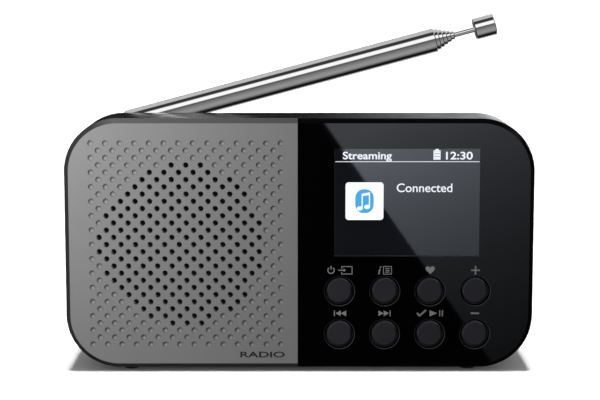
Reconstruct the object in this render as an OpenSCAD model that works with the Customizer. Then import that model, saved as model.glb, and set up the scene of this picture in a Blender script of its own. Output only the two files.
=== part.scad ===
// Portable tabletop radio: split front with a perforated speaker grille on the left and a
// gloss window with display and eight buttons on the right, and a folding telescopic antenna.
// Millimetres. Origin on the ground under the centre of the case, +Z up, the front faces -Y.

/* [Case] */
// Width of the case
body_w = 155; // [150:1:160]
// Height of the case without its feet
body_h = 83.25; // [82:0.25:86]
// Depth of the case
body_d = 36; // [36:1:40]
// Radius of the case's four front corners
corner_r = 17.65; // [14:0.05:18]
// Wall thickness of the two cabinet halves
wall = 2; // [1.8:0.1:2.2]
// Thickness of the two front panels
panel_t = 2.4; // [2.2:0.1:2.6]
// Bevel around the front face
front_bevel = 1.5; // [0.8:0.1:1.8]
// Rounding of the rear edges
rear_round = 3; // [2:0.5:4]
// Where the two front panels meet, from the centre
seam_x = -0.5; // [-1:0.1:0]
// Depth of the top surface, from the front face to the antenna channel
top_depth = 23.5; // [23:0.5:24.5]
// Height of the antenna channel's floor above the underside
channel_h = 73.2; // [73:0.1:74]
// Height of the rubber feet
foot_h = 1.2; // [1:0.1:2]

/* [Grille] */
// Half the pitch of the staggered hole grid
grid = 2.4; // [2.3:0.05:2.5]
// Grid centre, from the middle of the case
grid_x = -39.7; // [-40:0.1:-39]
// Grid centre, above the underside
grid_h = 41.6; // [41:0.1:42]
// Diameter of the open holes
hole_d = 1.85; // [1.2:0.05:2.2]
// Radius of the round field of open holes
field_r = 27.35; // [24:0.05:27.4]

/* [Display] */
// Width of the visible display
screen_w = 48.1; // [44:0.1:49]
// Height of the visible display
screen_h = 35.7; // [33:0.1:36]
// Centre of the display, from the middle of the case
screen_x = 35.55; // [35:0.05:36]
// Centre of the display, above the underside
screen_c = 55.55; // [55:0.05:56]

/* [Buttons] */
// Diameter of a button cap
cap_d = 8; // [7:0.1:8.2]
// First button column, from the middle of the case
button_x = 13.3; // [13:0.1:14]
// Distance between button columns
button_pitch = 15; // [14.8:0.1:15]
// Height of the lower row above the underside
button_low = 11.5; // [11:0.1:12]
// Height of the upper row above the underside
button_high = 26; // [26:0.1:26.5]
// How far a button travels
button_travel = 0.5; // [0.3:0.1:0.6]

/* [Antenna] */
// Angle of the antenna above the horizontal
tilt = 15; // [0:1:60]
// Height of the tilt pivot above the underside
pivot_h = 78; // [77.8:0.1:78.4]
// Tilt pivot, from the middle of the case
pivot_x = -64.4; // [-65:0.1:-64]
// Radius of the outermost tube
tube_r = 4.1; // [3.9:0.05:4.2]
// Distance from the pivot to the mouth of the outermost tube
tube_end = 114.8; // [100:0.1:116]

/* [Hidden] */
$fn = 96;

eps = 0.5;                              // how far a cutter runs past the face that it cuts
gap = 0.3;                              // gap round a part that drops into an opening
snug = 0.05;                            // gap of a close fit

// Layers from front to back
face_y = -body_d / 2;
panel_back = face_y + panel_t;
web_t = 1.6;
web_back = panel_back + web_t;
split_y = face_y + top_depth;
back_y = body_d / 2;
back_inner = back_y - wall;

// Heights above the ground
mid_z = foot_h + body_h / 2;
channel_z = foot_h + channel_h;
grid_z = foot_h + grid_h;
screen_z = foot_h + screen_c;
pivot_z = foot_h + pivot_h;
row_z = [foot_h + button_low, foot_h + button_high];

// Grille
dimple_r = 0.95;
dimple_depth = 0.45;
dimple_ball = (dimple_r * dimple_r + dimple_depth * dimple_depth) / (2 * dimple_depth);
grid_rows = 14;
grid_left = -12;
grid_right = 14;
speaker_x = grid_x + 0.35;
panel_gap = 0.12;

// Speaker
speaker_r = 28.3;
gasket_t = 1;
flange_t = 1;
flange_y = web_back + gasket_t;
basket_y = flange_y + 8;
magnet_r = 16;
magnet_t = 7;
magnet_back = basket_y + flange_t + magnet_t;
pole_r = 6.5;
ear_at = 31.2;
ear_r = 3;

// Screws and posts
case_screw_at = [[-67, 10], [67, 10], [-71.2, 62], [71.2, 62], [-3.2, 40]];
case_boss_r = 3.3;
case_screw_r = 1.3;
case_head_r = 2.5;
case_head_y = 8;
case_screw_l = 13;
small_screw_r = 1;
small_head_r = 1.9;
small_head_t = 1.2;
small_screw_l = 4.5;
post_r = 2.1;
main_post_at = [[4.5, 33.4], [4.5, 72], [71, 30], [71, 50]];
button_post_at = [for (i = [0:2]) [button_x + (i + 0.5) * button_pitch, 18.75]];

// Boards
board_t = 1.6;
button_board_y = -11.2;
main_board_y = -7.5;
main_back = main_board_y + board_t;
main_low = [1.8, 12];
main_high = [73, 76];
side_inner = body_w / 2 - wall;

// Display
lens_t = 1;
air_gap = 0.3;
glass_y = face_y + lens_t + air_gap;
module_w = 60.3;
module_h = 42.7;
module_x = screen_x + 2;
module_back = panel_back + 2.6;
ribbon_w = 18;

// Buttons
button_hole_r = cap_d / 2 + 0.5;
button_bevel_r = cap_d / 2 + 1.15;
cap_y = face_y + 0.15;
cap_edge = 0.35;
button_flange_r = 5;
button_flange_y = panel_back + gap;
button_flange_t = 1;
stem_r = 1.5;
dome_t = 0.3;
stem_y = button_board_y - dome_t - button_travel - 0.15;

// Sockets on the right side
usb_h = 22;
usb_w = 9;
usb_t = 3.3;
usb_l = 7.5;
jack_h = 38;
jack_bore_r = 1.8;
jack_collar_r = 3;
jack_body = 5.6;
jack_l = 13;

// Batteries: four AA cells in one bay behind the door
cell_r = 7.1;
cell_l = 49.4;
nub_r = 2.6;
nub_l = 1.1;
cell_pitch = 14.75;
bay_x = [3, 62];
bay_h = [8, 67];
bay_floor_y = 1.5;
bay_wall = 1.5;
cell_y = bay_floor_y + cell_r + 0.35;
bay_mid = (bay_x[0] + bay_x[1]) / 2;
contact_t = 0.4;
contact_w = 10;
plus_reach = 27;
spring_turns = 3;
spring_wire = 0.45;
door_t = 1.6;
door_y = back_y - door_t;
door_ledge = 1.5;
door_gap = 0.2;
tab_h = [20, 55];
tab_w = 9;
tab_t = 1;
tab_l = 4.2;
tab_web = 1.4;
tab_reach = 1.6;                        // how far a tab goes in under the case's wall
tab_drop = 1.8;                         // how far a tab lies in front of the door
slot_depth = 3;
latch_h = 37.5;
latch_w = 9;
latch_t = 0.8;
latch_l = 3.6;
latch_drop = 1.6;
grip_ribs = 5;
grip_pitch = 1.8;
grip_w = 12;
notch_w = 12;
notch_x = 4.2;
notch_floor_y = 13.6;

// Sound vents behind the speaker
vent_w = 30;
vent_t = 1.4;
vent_pitch = 4.2;

// Antenna
steps = 6;
step_r = 0.535;
step_l = 1.34;
slide_gap = 0.1;
rod_end = tube_end + 13.7;
tip_r = 3.65;
tip_l = 7.2;
tip_slot_turn = -35;
pivot_y = face_y + 28.6;
pin_r = 1;
tongue_t = 3;
ear_t = 1.7;
ear_round = 3.4;
collar_at = [5.3, 8];
plug_l = 3.5;
swivel_r = 2;
flange_swivel_r = 4.7;
swivel_gap = 0.1;
swivel_boss_r = 5.5;
swivel_boss_h = 2;
nut_t = 1.6;
nut_r = 4;
swivel_l = wall + swivel_boss_h + swivel_gap + nut_t + 0.2;
inner_start = 12;                       // where the second tube starts, inside the first

foot_r = 2.7;
foot_at = [for (x = [-56.5, 56.5]) for (y = [-11.3, 12]) [x, y]];

// ---- helpers ----

// Extrudes an outline drawn as (X, Z) from y0 back to y1
module plate(y0, y1) {
  translate([0, y1, 0]) rotate([90, 0, 0]) linear_extrude(y1 - y0) children();
}

// Puts a part that was turned about Z at (x, z), with its own Z running back from y
module back_from(x, y, z) {
  translate([x, y, z]) rotate([-90, 0, 0]) children();
}

// A round post or hole from y0 back to y1
module peg(x, z, r, y0, y1) {
  back_from(x, y0, z) cylinder(h = y1 - y0, r = r);
}

// Rectangle in (X, Z) between two corners
module window(low, high) {
  translate(low) square(high - low);
}

// The case's outline, drawn as (X, Z)
module outline(inset = 0) {
  w = body_w - 2 * inset;
  h = body_h - 2 * inset;
  r = corner_r - inset;
  translate([0, mid_z]) {
    square([w, h - 2 * r], center = true);
    square([w - 2 * r, h], center = true);
    for (sx = [-1, 1]) for (sz = [-1, 1]) translate([sx * (w / 2 - r), sz * (h / 2 - r)]) circle(r);
  }
}

// Sweeps a cutter's profile round the case. The profile is (outwards from the corner centre, back).
module round_edge() {
  flat_w = body_w - 2 * corner_r;
  flat_h = body_h - 2 * corner_r;
  for (i = [0:3]) {
    sx = i == 0 || i == 3 ? 1 : -1;
    sz = i < 2 ? 1 : -1;
    along = i % 2 == 0 ? flat_h : flat_w;
    translate([sx * flat_w / 2, 0, mid_z + sz * flat_h / 2]) rotate([0, -90 * i, 0]) {
      rotate([-90, 0, 0]) rotate([0, 0, -90]) rotate_extrude(angle = 90) children();
      mirror([0, 0, 1]) linear_extrude(along) children();
    }
  }
}

module front_bevel_cutter() {
  translate([0, face_y, 0]) round_edge()
    polygon([
      [corner_r - front_bevel - eps, -eps], [corner_r + eps, -eps], [corner_r + eps, front_bevel + eps]
    ]);
}

module rear_round_cutter() {
  translate([0, back_y, 0]) round_edge() difference() {
    translate([corner_r - rear_round, -rear_round]) square(rear_round + eps);
    translate([corner_r - rear_round, -rear_round]) circle(rear_round);
  }
}

function is_hole(col, row) = norm([col * grid + grid_x - speaker_x, row * grid]) < field_r;

// Runs its child at each point of the staggered grid that is a hole, or is a dimple
module at_grid(holes) {
  for (row = [-grid_rows:grid_rows]) for (col = [grid_left:grid_right])
    if ((row + col) % 2 == 0 && is_hole(col, row) == holes)
      translate([grid_x + col * grid, grid_z + row * grid]) children();
}

module at_buttons() {
  for (col = [0:3]) for (row = [0:1]) translate([button_x + col * button_pitch, row_z[row]]) children();
}

// ---- front ----

module grille_panel() {
  color([0.55, 0.55, 0.55]) difference() {
    plate(face_y, panel_back) difference() {
      intersection() {
        outline();
        window([-body_w, 0], [seam_x - panel_gap / 2, 2 * body_h]);
      }
      at_grid(true) circle(d = hole_d);
    }
    front_bevel_cutter();
    translate([0, face_y - dimple_ball + dimple_depth, 0]) rotate([90, 0, 0])
      at_grid(false) sphere(dimple_ball);
  }
}

module window_panel() {
  color([0.03, 0.03, 0.03]) difference() {
    plate(face_y, panel_back) difference() {
      intersection() {
        outline();
        window([seam_x + panel_gap / 2, 0], [body_w, 2 * body_h]);
      }
      translate([screen_x, screen_z]) square([screen_w, screen_h], center = true);
      at_buttons() circle(button_hole_r);
    }
    front_bevel_cutter();
    for (col = [0:3]) for (row = [0:1])
      back_from(button_x + col * button_pitch, face_y, row_z[row]) rotate_extrude()
        polygon([
          [0, -eps], [button_bevel_r + eps, -eps], [button_hole_r, button_bevel_r - button_hole_r],
          [0, button_bevel_r - button_hole_r]
        ]);
  }
}

module display_lens() {
  color([0.2, 0.22, 0.24]) plate(face_y, face_y + lens_t) translate([screen_x, screen_z])
    square([screen_w - 2 * snug, screen_h - 2 * snug], center = true);
}

module front_cabinet() {
  color([0.06, 0.06, 0.06]) difference() {
    union() {
      plate(panel_back, split_y) difference() {
        outline();
        outline(wall);
      }
      difference() {
        plate(panel_back, web_back) outline(wall / 2);
        plate(panel_back - eps, web_back + eps) {
          translate([speaker_x, grid_z]) circle(speaker_r);
          translate([module_x, screen_z]) square([module_w + 2 * gap, module_h + 2 * gap], center = true);
          at_buttons() circle(button_flange_r + gap);
        }
      }
      for (p = case_screw_at) peg(p[0], foot_h + p[1], case_boss_r, web_back - eps, split_y - 2);
      for (p = main_post_at) peg(p[0], foot_h + p[1], post_r, web_back - eps, main_board_y);
      for (p = button_post_at) peg(p[0], foot_h + p[1], post_r, web_back - eps, button_board_y);
      for (a = [45:90:315])
        peg(speaker_x + ear_at * cos(a), grid_z + ear_at * sin(a), ear_r, web_back - eps, flange_y);
    }
    for (p = case_screw_at) peg(p[0], foot_h + p[1], case_screw_r + snug, web_back + 0.6, split_y);
    for (p = main_post_at)
      peg(p[0], foot_h + p[1], small_screw_r + snug, main_back - small_screw_l - eps, main_board_y + eps);
    for (p = button_post_at)
      peg(p[0], foot_h + p[1], small_screw_r + snug, panel_back + 0.7, button_board_y + eps);
    for (a = [45:90:315])
      peg(speaker_x + ear_at * cos(a), grid_z + ear_at * sin(a), small_screw_r + snug,
          panel_back + 0.6, flange_y + eps);
    // socket openings through the right side
    translate([side_inner - eps, main_back + jack_body / 2, foot_h + jack_h]) rotate([0, 90, 0])
      cylinder(h = wall + 2 * eps, r = jack_collar_r + snug);
    translate([side_inner - eps, main_back, foot_h + usb_h - usb_w / 2 - gap])
      cube([wall + 2 * eps, usb_t + gap, usb_w + 2 * gap]);
  }
}

// ---- rear ----

module rear_shell() {
  low_part = [[-body_w, 0], [body_w, channel_z]];
  inner_part = [[-body_w, 0], [body_w, channel_z - wall]];
  difference() {
    plate(split_y, back_y) intersection() {
      outline();
      window(low_part[0], low_part[1]);
    }
    plate(split_y - eps, back_inner) intersection() {
      outline(wall);
      window(inner_part[0], inner_part[1]);
    }
    rear_round_cutter();
  }
  // wall between the case's inside and the channel, inside the front cabinet's rim
  plate(split_y - wall, split_y) difference() {
    outline(wall + snug);
    window([-body_w, 0], [body_w, channel_z - wall]);
  }
  // tongue that locates the rear half in the front half
  plate(split_y - wall, split_y + wall) intersection() {
    difference() {
      outline(wall + snug);
      outline(wall + snug + 1);
    }
    window([-body_w, 0], [body_w, channel_z - wall + snug]);
  }
}

module bay_box() {
  plate(bay_floor_y - bay_wall, back_inner + eps)
    window([bay_x[0] - bay_wall, foot_h + bay_h[0] - bay_wall],
           [bay_x[1] + bay_wall, foot_h + bay_h[1] + bay_wall]);
}

module finger_notch(grow = 0) {
  x = bay_x[1] + door_ledge;
  plate(notch_floor_y - grow, back_y + (grow > 0 ? -wall / 2 : eps))
    window([x - door_ledge, foot_h + latch_h - notch_w / 2 - grow],
           [x + notch_x + grow, foot_h + latch_h + notch_w / 2 + grow]);
}

module rear_cabinet() {
  color([0.05, 0.05, 0.05]) difference() {
    union() {
      rear_shell();
      bay_box();
      finger_notch(wall / 2);
      for (p = case_screw_at) peg(p[0], foot_h + p[1], case_boss_r, split_y - 2, back_inner + eps);
      translate([pivot_x, pivot_y, channel_z - wall - swivel_boss_h])
        cylinder(h = swivel_boss_h + wall / 2, r = swivel_boss_r);
    }
    // the bay, open to the back, and the door's recess round it
    plate(bay_floor_y, back_y + eps)
      window([bay_x[0], foot_h + bay_h[0]], [bay_x[1], foot_h + bay_h[1]]);
    plate(door_y, back_y + eps)
      window([bay_x[0] - door_ledge, foot_h + bay_h[0] - door_ledge],
             [bay_x[1] + door_ledge, foot_h + bay_h[1] + door_ledge]);
    finger_notch();
    // slots that the door's two tabs swing in
    for (h = tab_h)
      translate([bay_x[0] - door_ledge - tab_reach - 1, door_y - slot_depth, foot_h + h - tab_w / 2 - gap])
        cube([door_ledge + slot_depth, slot_depth, tab_w + 2 * gap]);
    // countersunk tunnels for the case screws
    for (p = case_screw_at) {
      peg(p[0], foot_h + p[1], case_screw_r + 0.2, split_y - 3, back_y);
      peg(p[0], foot_h + p[1], case_head_r + 0.2, case_head_y, back_y + eps);
    }
    // the antenna's swivel hole
    translate([pivot_x, pivot_y, channel_z - 6]) cylinder(h = 8, r = swivel_r + snug);
    // sound vents behind the speaker
    for (i = [-3:3])
      translate([speaker_x, back_y, grid_z + i * vent_pitch])
        cube([vent_w, 2 * wall + 1, vent_t], center = true);
  }
}

module battery_door() {
  low = [bay_x[0] - door_ledge + door_gap, foot_h + bay_h[0] - door_ledge + door_gap];
  high = [bay_x[1] + door_ledge - door_gap, foot_h + bay_h[1] + door_ledge - door_gap];
  color([0.05, 0.05, 0.05]) difference() {
    union() {
      plate(door_y, back_y) window(low, high);
      for (h = tab_h) translate([low[0] - tab_reach, door_y - tab_drop, foot_h + h - tab_w / 2]) {
        cube([tab_l, tab_t, tab_w]);
        translate([tab_l - tab_web, 0, 0]) cube([tab_web, tab_drop + door_t / 2, tab_w]);
      }
      // latch: a springy arm bent back into the finger notch
      translate([high[0] - latch_t, door_y - latch_drop, foot_h + latch_h - latch_w / 2]) {
        cube([latch_t, latch_drop + door_t / 2, latch_w]);
        cube([latch_l, latch_t, latch_w]);
        translate([latch_l - latch_t, 0, 0]) cube([latch_t, latch_drop + door_t - 0.6, latch_w]);
      }
    }
    // ribbed grip beside the latch
    for (i = [0:grip_ribs - 1])
      translate([high[0] - 12 + i * grip_pitch, back_y - 0.5, foot_h + latch_h - grip_w / 2])
        cube([0.8, 1, grip_w]);
  }
}

module rubber_feet() {
  color([0.1, 0.1, 0.1]) for (p = foot_at) translate([p[0], p[1], 0]) rotate_extrude()
    polygon([[0, 0], [foot_r - 0.3, 0], [foot_r, 0.3], [foot_r, foot_h], [0, foot_h]]);
}

// A screw along Y: its head starts at y and its shank runs forward
module screw(x, z, y, r, head_r, head_t, l) {
  difference() {
    union() {
      peg(x, z, head_r, y, y + head_t);
      peg(x, z, r, y - l, y + head_t / 2);
    }
    for (a = [0, 90]) translate([x, y + head_t, z]) rotate([0, a, 0])
      cube([head_r * 1.2, head_t, head_r * 0.3], center = true);
  }
}

module case_screws() {
  color([0.6, 0.6, 0.62]) for (p = case_screw_at)
    screw(p[0], foot_h + p[1], case_head_y, case_screw_r, case_head_r, 1.8, case_screw_l);
}

// ---- speaker ----

module grille_cloth() {
  color([0.02, 0.02, 0.02]) peg(speaker_x, grid_z, speaker_r - 0.1, panel_back, panel_back + 0.4);
}

module speaker_gasket() {
  color([0.12, 0.12, 0.12]) plate(web_back, flange_y) translate([speaker_x, grid_z]) difference() {
    circle(speaker_r + 0.6);
    circle(speaker_r - 2.6);
    for (a = [45:90:315]) translate(ear_at * [cos(a), sin(a)]) circle(ear_r + snug);
  }
}

module speaker_frame() {
  color([0.35, 0.35, 0.36]) difference() {
    union() {
      back_from(speaker_x, flange_y, grid_z) rotate_extrude() polygon([
        [25.6, 0], [28.9, 0], [28.9, flange_t], [25.8, flange_t], [18, 8], [18, 9], [7.6, 9],
        [7.6, 8], [16.8, 8], [24.6, flange_t], [24.6, 0]
      ]);
      for (a = [45:90:315])
        peg(speaker_x + ear_at * cos(a), grid_z + ear_at * sin(a), ear_r, flange_y, flange_y + flange_t);
    }
    for (a = [45:90:315])
      peg(speaker_x + ear_at * cos(a), grid_z + ear_at * sin(a), small_screw_r + 0.15,
          flange_y - eps, flange_y + flange_t + eps);
    for (a = [0:90:270])
      translate([speaker_x, flange_y + 4.2, grid_z]) rotate([0, a, 0]) translate([21, 0, 0])
        cube([14, 4.4, 18], center = true);
  }
}

module speaker_cone() {
  color([0.08, 0.08, 0.08]) back_from(speaker_x, flange_y, grid_z) rotate_extrude() polygon([
    [21.2, 0.2], [21.8, 0.2], [21.8, 0.7], [7.3, 6.2], [7.3, 11], [6.9, 11], [6.9, 5.8]
  ]);
}

module speaker_surround() {
  color([0.05, 0.05, 0.05]) back_from(speaker_x, flange_y, grid_z) rotate_extrude() difference() {
    union() {
      translate([23.1, 0.2]) circle(1.5);
      translate([21.2, -0.2]) square([3.4, 0.4]);
    }
    translate([23.1, 0.2]) circle(1.1);
    translate([20, 0.2]) square([8, 3]);
  }
}

module speaker_dust_cap() {
  color([0.04, 0.04, 0.04]) back_from(speaker_x, flange_y + 12.6, grid_z) rotate_extrude() intersection() {
    difference() {
      circle(11);
      circle(10.6);
    }
    translate([0, -12]) square([7.6, 4]);
  }
}

module speaker_magnet() {
  color([0.2, 0.2, 0.21]) plate(basket_y + flange_t, magnet_back)
    translate([speaker_x, grid_z]) difference() {
      circle(magnet_r);
      circle(pole_r + 2);
    }
}

module speaker_yoke() {
  color([0.6, 0.6, 0.55]) union() {
    peg(speaker_x, grid_z, pole_r - 0.2, basket_y - 0.4, magnet_back + 1);
    peg(speaker_x, grid_z, magnet_r - 1, magnet_back, magnet_back + 2.5);
  }
}

module speaker_screws() {
  color([0.6, 0.6, 0.62]) for (a = [45:90:315])
    screw(speaker_x + ear_at * cos(a), grid_z + ear_at * sin(a), flange_y + flange_t,
          small_screw_r, small_head_r, small_head_t, 2.8);
}

// ---- display and controls ----

module display_module() {
  color([0.1, 0.1, 0.12]) {
    plate(glass_y, panel_back + snug) translate([screen_x, screen_z])
      square([screen_w - 4 * snug, screen_h - 4 * snug], center = true);
    plate(panel_back + snug, module_back) translate([module_x, screen_z])
      square([module_w, module_h], center = true);
  }
}

module display_ribbon() {
  z = screen_z - module_h / 2 + 3;
  t = 0.2;
  plug = [1, 1.5];
  y = main_board_y - plug[0];
  color([0.75, 0.45, 0.15]) translate([module_x - ribbon_w / 2, 0, 0]) rotate([90, 0, 90])
    linear_extrude(ribbon_w) polygon([
      [module_back, z + 9], [module_back + t, z + 9], [module_back + t, z + t], [y, z + t],
      [y, z + plug[1]], [main_board_y, z + plug[1]], [main_board_y, z - plug[1]], [y, z - plug[1]],
      [y, z], [module_back, z]
    ]);
}

module button_board() {
  color([0.05, 0.35, 0.15]) plate(button_board_y, button_board_y + board_t) difference() {
    window([7.2, foot_h + 5], [63.4, foot_h + 32.4]);
    for (p = button_post_at) translate([p[0], foot_h + p[1]]) circle(small_screw_r + 0.15);
  }
}

module switch_domes() {
  color([0.8, 0.8, 0.8]) for (col = [0:3]) for (row = [0:1])
    back_from(button_x + col * button_pitch, button_board_y - dome_t, row_z[row]) rotate_extrude()
      polygon([[0, 0], [1.2, 0], [2.6, dome_t], [0, dome_t]]);
}

// A cap on a retaining flange, with a stem that reaches the switch dome behind it
module button(col, row) {
  flange = button_flange_y - cap_y;
  color([0.15, 0.15, 0.16]) back_from(button_x + col * button_pitch, cap_y, row_z[row]) rotate_extrude()
    polygon([
      [0, 0], [cap_d / 2 - cap_edge, 0], [cap_d / 2, cap_edge], [cap_d / 2, flange],
      [button_flange_r, flange], [button_flange_r, flange + button_flange_t],
      [stem_r, flange + button_flange_t], [stem_r, stem_y - cap_y], [0, stem_y - cap_y]
    ]);
}

module button_power() { button(0, 1); }
module button_info() { button(1, 1); }
module button_favourite() { button(2, 1); }
module button_plus() { button(3, 1); }
module button_previous() { button(0, 0); }
module button_next() { button(1, 0); }
module button_play() { button(2, 0); }
module button_minus() { button(3, 0); }

// ---- electronics ----

module main_board() {
  color([0.05, 0.35, 0.15]) plate(main_board_y, main_back) difference() {
    window([main_low[0], foot_h + main_low[1]], [main_high[0], foot_h + main_high[1]]);
    for (p = case_screw_at) translate([p[0], foot_h + p[1]]) circle(case_boss_r + 0.8);
    for (p = main_post_at) translate([p[0], foot_h + p[1]]) circle(small_screw_r + 0.15);
    translate([main_high[0] - 2, foot_h + main_high[1] - 10]) square([4, 12]);
  }
}

module tuner_module() {
  color([0.7, 0.7, 0.7]) {
    plate(main_back, main_back + 3.4) window([12, foot_h + 48], [38, foot_h + 68]);
    plate(main_back + 3.4, main_back + 3.9) window([13, foot_h + 49], [37, foot_h + 67]);
  }
}

module board_chips() {
  color([0.08, 0.08, 0.08]) for (c = [[46, 58, 10], [48, 38, 8], [20, 34, 6], [34, 16, 5]])
    plate(main_back, main_back + 1.2) translate([c[0], foot_h + c[1]]) square(c[2], center = true);
}

module board_capacitors() {
  color([0.15, 0.2, 0.4]) for (c = [[12, 22], [20, 22], [58, 20], [58, 66]])
    peg(c[0], foot_h + c[1], 2.5, main_back, main_back + 5.2);
}

module board_screws() {
  color([0.6, 0.6, 0.62]) {
    for (p = main_post_at)
      screw(p[0], foot_h + p[1], main_back, small_screw_r, small_head_r, small_head_t, small_screw_l);
    for (p = button_post_at)
      screw(p[0], foot_h + p[1], button_board_y + board_t, small_screw_r, small_head_r, small_head_t,
            small_screw_l);
  }
}

module usb_socket() {
  z = foot_h + usb_h;
  color([0.75, 0.75, 0.76]) {
    difference() {
      translate([side_inner + wall - 0.4 - usb_l, main_back, z - usb_w / 2]) cube([usb_l, usb_t, usb_w]);
      translate([side_inner + wall - 0.4 - usb_l + 1.2, main_back + 0.4, z - usb_w / 2 + 0.35])
        cube([usb_l, usb_t - 0.8, usb_w - 0.7]);
    }
    translate([side_inner + wall - 0.4 - usb_l + 0.8, main_back + usb_t / 2 - 0.35, z - 3.2])
      cube([usb_l - 2, 0.7, 6.4]);
  }
}

module headphone_jack() {
  z = foot_h + jack_h;
  y = main_back + jack_body / 2;
  color([0.1, 0.1, 0.1]) difference() {
    union() {
      translate([side_inner - 0.2 - jack_l, main_back, z - jack_body / 2 - 0.4])
        cube([jack_l, jack_body, jack_body + 0.8]);
      translate([side_inner - 1, y, z]) rotate([0, 90, 0]) cylinder(h = wall + 0.8, r = jack_collar_r);
    }
    translate([side_inner - jack_l + 1, y, z]) rotate([0, 90, 0])
      cylinder(h = jack_l + wall, r = jack_bore_r);
  }
}

// ---- batteries ----

// Which way a cell's plus end points: the cells alternate
function cell_turn(i) = i % 2 == 0 ? 1 : -1;
function cell_z(i) = foot_h + bay_h[0] + (i + 0.5) * cell_pitch;

module at_cell(i) {
  translate([bay_mid, cell_y, cell_z(i)]) mirror([cell_turn(i) < 0 ? 1 : 0, 0, 0]) children();
}

module battery_cell(i) {
  color([0.75, 0.5, 0.2]) at_cell(i) translate([plus_reach - nub_l - cell_l, 0, 0]) rotate([0, 90, 0])
    rotate_extrude() polygon([
      [0, 0], [cell_r - 0.5, 0], [cell_r, 0.5], [cell_r, cell_l - 0.5], [cell_r - 0.5, cell_l],
      [nub_r, cell_l], [nub_r, cell_l + nub_l], [0, cell_l + nub_l]
    ]);
}

module battery_cell_1() { battery_cell(0); }
module battery_cell_2() { battery_cell(1); }
module battery_cell_3() { battery_cell(2); }
module battery_cell_4() { battery_cell(3); }

// Conical coil spring along X, as one swept round wire
ring_sides = 6;
ring_steps = 12;
function spring_ring(t, from, reach) =
  let (a = 360 * spring_turns * t, r = 4.4 - 1.8 * t, x = from + reach * t)
  [for (k = [0:ring_sides - 1]) let (b = 360 * k / ring_sides, rr = r + spring_wire * cos(b))
    [x + spring_wire * sin(b), rr * cos(a), rr * sin(a)]];

module coil_spring(from, reach) {
  n = spring_turns * ring_steps;
  points = [for (s = [0:n]) each spring_ring(s / n, from, reach)];
  sides = [for (s = [0:n - 1]) for (k = [0:ring_sides - 1]) let (m = (k + 1) % ring_sides)
    [s * ring_sides + k, s * ring_sides + m, (s + 1) * ring_sides + m, (s + 1) * ring_sides + k]];
  cap_0 = [for (k = [ring_sides - 1:-1:0]) k];
  cap_1 = [for (k = [0:ring_sides - 1]) n * ring_sides + k];
  polyhedron(points, concat([cap_0], sides, [cap_1]), convexity = 6);
}

module battery_springs() {
  wall_at = (bay_x[1] - bay_x[0]) / 2 - contact_t - spring_wire - 0.02;
  cell_at = cell_l + nub_l - plus_reach + spring_wire + 0.05;
  color([0.8, 0.8, 0.8]) for (i = [0:3]) at_cell(i) coil_spring(-wall_at, wall_at - cell_at);
}

module battery_contacts() {
  wall_at = (bay_x[1] - bay_x[0]) / 2;
  color([0.8, 0.8, 0.8]) for (i = [0:3]) at_cell(i) {
    translate([-wall_at, -contact_w / 2, -contact_w / 2]) cube([contact_t, contact_w, contact_w]);
    translate([wall_at - contact_t, -contact_w / 2, -contact_w / 2]) cube([contact_t, contact_w, contact_w]);
    translate([plus_reach + snug, 0, 0]) rotate([0, 90, 0])
      cylinder(h = wall_at - plus_reach - contact_t, r1 = 1.8, r2 = 3);
  }
}

// ---- antenna ----

// Puts a part that was turned about Z on the antenna's axis, at a distance from the pivot
module on_antenna(d = 0) {
  translate([pivot_x, pivot_y, pivot_z]) rotate([0, 90 - tilt, 0]) translate([0, 0, d]) children();
}

module antenna_base() {
  top = pivot_z - channel_z;
  color([0.75, 0.75, 0.77]) translate([pivot_x, pivot_y, channel_z]) difference() {
    union() {
      translate([0, 0, swivel_gap]) cylinder(h = 0.5, r = flange_swivel_r);
      translate([0, 0, -swivel_l]) cylinder(h = swivel_l + 0.2, r = swivel_r);
      for (s = [-1, 1]) translate([0, s * (tongue_t / 2 + 0.1 + ear_t / 2), 0]) intersection() {
        union() {
          translate([-ear_round, -ear_t / 2, 0.4]) cube([2 * ear_round, ear_t, top - 0.4]);
          translate([0, ear_t / 2, top]) rotate([90, 0, 0]) cylinder(h = ear_t, r = ear_round);
        }
        translate([0, -s * (tongue_t / 2 + 0.1 + ear_t / 2), 0]) cylinder(h = 20, r = flange_swivel_r);
      }
    }
    translate([0, 10, top]) rotate([90, 0, 0]) cylinder(h = 20, r = pin_r + 0.02);
  }
}

module antenna_pin() {
  reach = tongue_t / 2 + 0.1 + ear_t - 0.3;
  color([0.75, 0.75, 0.77]) peg(pivot_x, pivot_z, pin_r, pivot_y - reach, pivot_y + reach);
}

module antenna_nut() {
  color([0.75, 0.7, 0.5])
    translate([pivot_x, pivot_y, channel_z - wall - swivel_boss_h - swivel_gap - nut_t]) difference() {
      cylinder(h = nut_t, r = nut_r);
      translate([0, 0, -eps]) cylinder(h = nut_t + 2 * eps, r = swivel_r + 0.02);
    }
}

module antenna_knuckle() {
  color([0.8, 0.8, 0.82]) difference() {
    union() {
      on_antenna() rotate([90, 0, 0]) translate([0, 0, -tongue_t / 2]) cylinder(h = tongue_t, r = 3.2);
      on_antenna() translate([-3.2, -tongue_t / 2, 0]) cube([6.4, tongue_t, collar_at[0] + 0.5]);
      on_antenna(collar_at[0]) rotate_extrude() polygon([
        [0, 0], [tube_r - 0.5, 0], [tube_r, 0.5], [tube_r, collar_at[1] - collar_at[0]],
        [tube_r - 0.48, collar_at[1] - collar_at[0]], [tube_r - 0.48, collar_at[1] - collar_at[0] + plug_l],
        [0, collar_at[1] - collar_at[0] + plug_l]
      ]);
    }
    on_antenna() rotate([90, 0, 0]) translate([0, 0, -5]) cylinder(h = 10, r = pin_r + snug);
  }
}

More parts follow.
